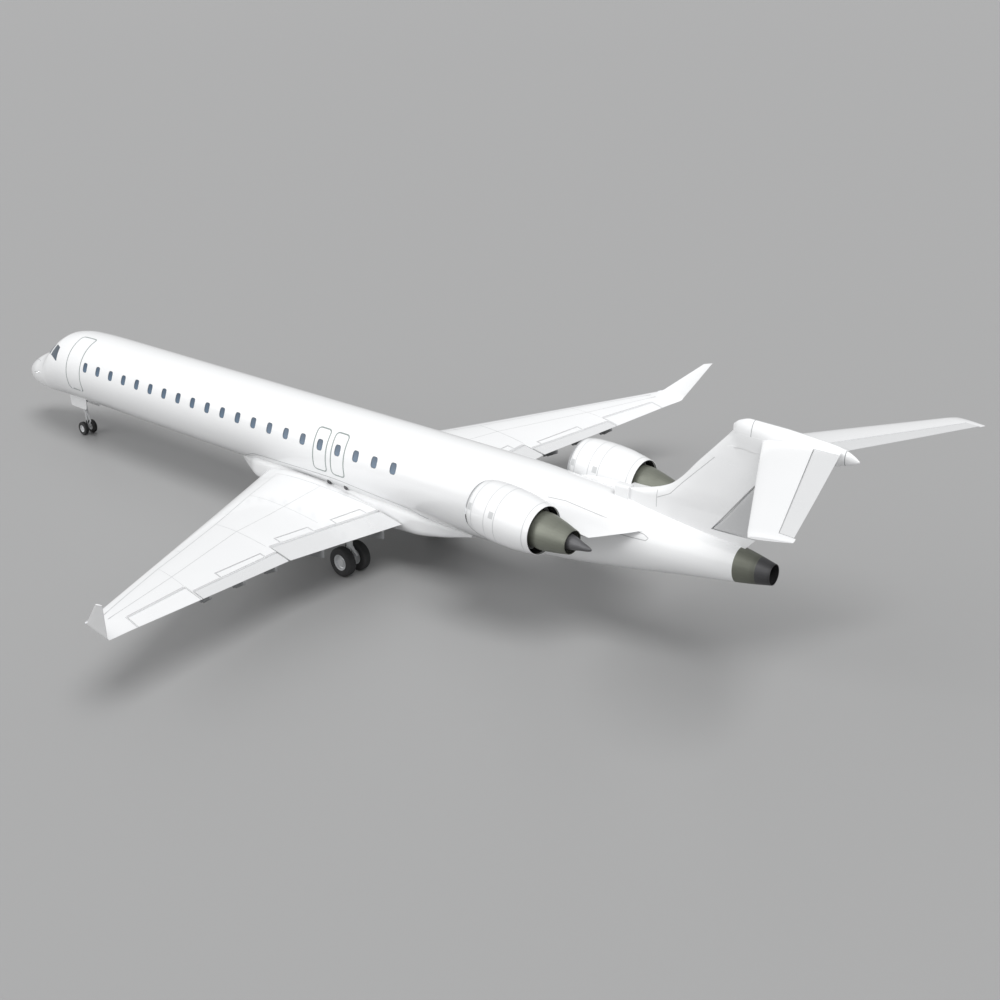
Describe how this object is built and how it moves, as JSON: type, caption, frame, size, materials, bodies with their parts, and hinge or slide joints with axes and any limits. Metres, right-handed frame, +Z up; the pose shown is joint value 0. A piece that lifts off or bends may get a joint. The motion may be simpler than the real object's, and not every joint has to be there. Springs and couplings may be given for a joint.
{
  "type": "regional airliner",
  "caption": "Rear-engined regional airliner with a T tail and blended winglets, standing on its gear, with hinged control surfaces, door, steering, fans and wheels.",
  "frame": {"origin": "middle of the overall box at ground level, where the tyres stand", "axes": "+Z up, nose towards -Y, the aircraft's left side towards +X"},
  "size_m": [24.8532, 36.594, 7.05],
  "materials": {
    "white_paint": "gloss",
    "core_metal": "satin",
    "dark_metal": "satin",
    "fan_metal": "satin",
    "gear_paint": "satin",
    "tyre_rubber": "matte",
    "cockpit_glass": "gloss",
    "bare_metal": "satin"
  },
  "bodies": {
    "airframe": {"belly_fairing": "white_paint", "bullet_fairing": "white_paint", "cabin_centre": "white_paint", "cabin_front": "white_paint", "cabin_rear": "white_paint", "engine_core_left": "core_metal", "engine_core_right": "core_metal", "exhaust_pipe": "dark_metal", "exhaust_plug_left": "dark_metal", "exhaust_plug_right": "dark_metal", "fin": "white_paint", "main_leg_left": "gear_paint", "main_leg_right": "gear_paint", "nacelle_left": "white_paint", "nacelle_right": "white_paint", "nose_bay_door_left": "white_paint", "nose_bay_door_right": "white_paint", "nose_leg": "gear_paint", "nose_section": "white_paint", "pylon_left": "white_paint", "pylon_right": "white_paint", "service_door": "white_paint", "tail_cone": "bare_metal", "tail_intake": "white_paint", "tailplane": "white_paint", "windscreen": "cockpit_glass", "wing_left": "white_paint", "wing_right": "white_paint"},
    "passenger_door": {"passenger_door": "white_paint"},
    "nose_steering": {"nose_leg_steered": "gear_paint"},
    "nose_wheels": {"nose_wheels": "tyre_rubber"},
    "main_wheels_left": {"main_wheels_left": "tyre_rubber"},
    "fan_left": {"fan_left": "fan_metal"},
    "main_wheels_right": {"main_wheels_right": "tyre_rubber"},
    "fan_right": {"fan_right": "fan_metal"},
    "flap_inboard_left": {"flap_inboard_left": "white_paint"},
    "flap_outboard_left": {"flap_outboard_left": "white_paint"},
    "aileron_left": {"aileron_left": "white_paint"},
    "spoiler_inboard_left": {"spoiler_inboard_left": "white_paint"},
    "spoiler_middle_left": {"spoiler_middle_left": "white_paint"},
    "spoiler_outboard_left": {"spoiler_outboard_left": "white_paint"},
    "elevator_left": {"elevator_left": "white_paint"},
    "flap_inboard_right": {"flap_inboard_right": "white_paint"},
    "flap_outboard_right": {"flap_outboard_right": "white_paint"},
    "aileron_right": {"aileron_right": "white_paint"},
    "spoiler_inboard_right": {"spoiler_inboard_right": "white_paint"},
    "spoiler_middle_right": {"spoiler_middle_right": "white_paint"},
    "spoiler_outboard_right": {"spoiler_outboard_right": "white_paint"},
    "elevator_right": {"elevator_right": "white_paint"},
    "rudder": {"rudder": "white_paint"}
  },
  "joints": [
    {"name": "passenger_door_hinge", "type": "hinge", "parent": "airframe", "child": "passenger_door", "pos_m": [1.22059, -13.877, 2.44619], "axis": [0, 1, 0], "range_deg": [0, 120]},
    {"name": "nose_steering", "type": "hinge", "parent": "airframe", "child": "nose_steering", "pos_m": [0, -15.097, 1], "axis": [0, 0, 1], "range_deg": [-80, 80]},
    {"name": "nose_wheels_spin", "type": "hinge", "parent": "nose_steering", "child": "nose_wheels", "pos_m": [0, -15.097, 0.26], "axis": [1, 0, 0], "continuous": true},
    {"name": "main_wheels_left_spin", "type": "hinge", "parent": "airframe", "child": "main_wheels_left", "pos_m": [2.035, 2.153, 0.457], "axis": [1, 0, 0], "continuous": true},
    {"name": "fan_left_spin", "type": "hinge", "parent": "airframe", "child": "fan_left", "pos_m": [2.147, 7.673, 3.723], "axis": [0.0228, 0.9979, -0.0606], "continuous": true},
    {"name": "main_wheels_right_spin", "type": "hinge", "parent": "airframe", "child": "main_wheels_right", "pos_m": [-2.035, 2.153, 0.457], "axis": [1, 0, 0], "continuous": true},
    {"name": "fan_right_spin", "type": "hinge", "parent": "airframe", "child": "fan_right", "pos_m": [-2.147, 7.673, 3.723], "axis": [-0.0228, 0.9979, -0.0606], "continuous": true},
    {"name": "flap_inboard_left_hinge", "type": "hinge", "parent": "airframe", "child": "flap_inboard_left", "pos_m": [1.17, 2.6483, 1.28501], "axis": [-0.9951, -0.0233, -0.0957], "range_deg": [0, 45]},
    {"name": "flap_outboard_left_hinge", "type": "hinge", "parent": "airframe", "child": "flap_outboard_left", "pos_m": [5.5, 3.0519, 1.70198], "axis": [-0.9774, -0.193, -0.0864], "range_deg": [0, 45]},
    {"name": "aileron_left_hinge", "type": "hinge", "parent": "airframe", "child": "aileron_left", "pos_m": [8.84, 3.4542, 2.30125], "axis": [0.9647, 0.2508, 0.08], "range_deg": [-25, 25]},
    {"name": "spoiler_inboard_left_hinge", "type": "hinge", "parent": "airframe", "child": "spoiler_inboard_left", "pos_m": [1.64, 2.247, 1.90361], "axis": [0.9963, 0.0544, 0.0662], "range_deg": [0, 50]},
    {"name": "spoiler_middle_left_hinge", "type": "hinge", "parent": "airframe", "child": "spoiler_middle_left", "pos_m": [3.77, 2.332, 2.05004], "axis": [0.997, 0.033, 0.0701], "range_deg": [0, 50]},
    {"name": "spoiler_outboard_left_hinge", "type": "hinge", "parent": "airframe", "child": "spoiler_outboard_left", "pos_m": [5.95, 2.877, 2.1386], "axis": [0.9815, 0.1768, 0.0739], "range_deg": [0, 50]},
    {"name": "elevator_left_hinge", "type": "hinge", "parent": "airframe", "child": "elevator_left", "pos_m": [0.26, 16.33319, 6.72287], "axis": [0.9363, 0.348, -0.0482], "range_deg": [-25, 20]},
    {"name": "flap_inboard_right_hinge", "type": "hinge", "parent": "airframe", "child": "flap_inboard_right", "pos_m": [-1.17, 2.6483, 1.28501], "axis": [-0.9951, 0.0233, 0.0957], "range_deg": [0, 45]},
    {"name": "flap_outboard_right_hinge", "type": "hinge", "parent": "airframe", "child": "flap_outboard_right", "pos_m": [-5.5, 3.0519, 1.70198], "axis": [-0.9774, 0.193, 0.0864], "range_deg": [0, 45]},
    {"name": "aileron_right_hinge", "type": "hinge", "parent": "airframe", "child": "aileron_right", "pos_m": [-8.84, 3.4542, 2.30125], "axis": [0.9647, -0.2508, -0.08], "range_deg": [-25, 25]},
    {"name": "spoiler_inboard_right_hinge", "type": "hinge", "parent": "airframe", "child": "spoiler_inboard_right", "pos_m": [-1.64, 2.247, 1.90361], "axis": [0.9963, -0.0544, -0.0662], "range_deg": [0, 50]},
    {"name": "spoiler_middle_right_hinge", "type": "hinge", "parent": "airframe", "child": "spoiler_middle_right", "pos_m": [-3.77, 2.332, 2.05004], "axis": [0.997, -0.033, -0.0701], "range_deg": [0, 50]},
    {"name": "spoiler_outboard_right_hinge", "type": "hinge", "parent": "airframe", "child": "spoiler_outboard_right", "pos_m": [-5.95, 2.877, 2.1386], "axis": [0.9815, -0.1768, -0.0739], "range_deg": [0, 50]},
    {"name": "elevator_right_hinge", "type": "hinge", "parent": "airframe", "child": "elevator_right", "pos_m": [-0.26, 16.33319, 6.72287], "axis": [0.9363, -0.348, 0.0482], "range_deg": [-25, 20]},
    {"name": "rudder_hinge", "type": "hinge", "parent": "airframe", "child": "rudder", "pos_m": [0, 13.66065, 4], "axis": [0, 0.6224, 0.7827], "range_deg": [-25, 25]}
  ],
  "couplings": [
    {"joint": "flap_inboard_right_hinge", "follows": "flap_inboard_left_hinge", "ratio": 1},
    {"joint": "flap_outboard_left_hinge", "follows": "flap_inboard_left_hinge", "ratio": 1},
    {"joint": "flap_outboard_right_hinge", "follows": "flap_inboard_left_hinge", "ratio": 1},
    {"joint": "spoiler_inboard_left_hinge", "follows": "spoiler_outboard_left_hinge", "ratio": 1},
    {"joint": "spoiler_middle_left_hinge", "follows": "spoiler_outboard_left_hinge", "ratio": 1},
    {"joint": "spoiler_inboard_right_hinge", "follows": "spoiler_outboard_left_hinge", "ratio": 1},
    {"joint": "spoiler_middle_right_hinge", "follows": "spoiler_outboard_left_hinge", "ratio": 1},
    {"joint": "spoiler_outboard_right_hinge", "follows": "spoiler_outboard_left_hinge", "ratio": 1},
    {"joint": "aileron_right_hinge", "follows": "aileron_left_hinge", "ratio": -1},
    {"joint": "elevator_right_hinge", "follows": "elevator_left_hinge", "ratio": 1}
  ]
}
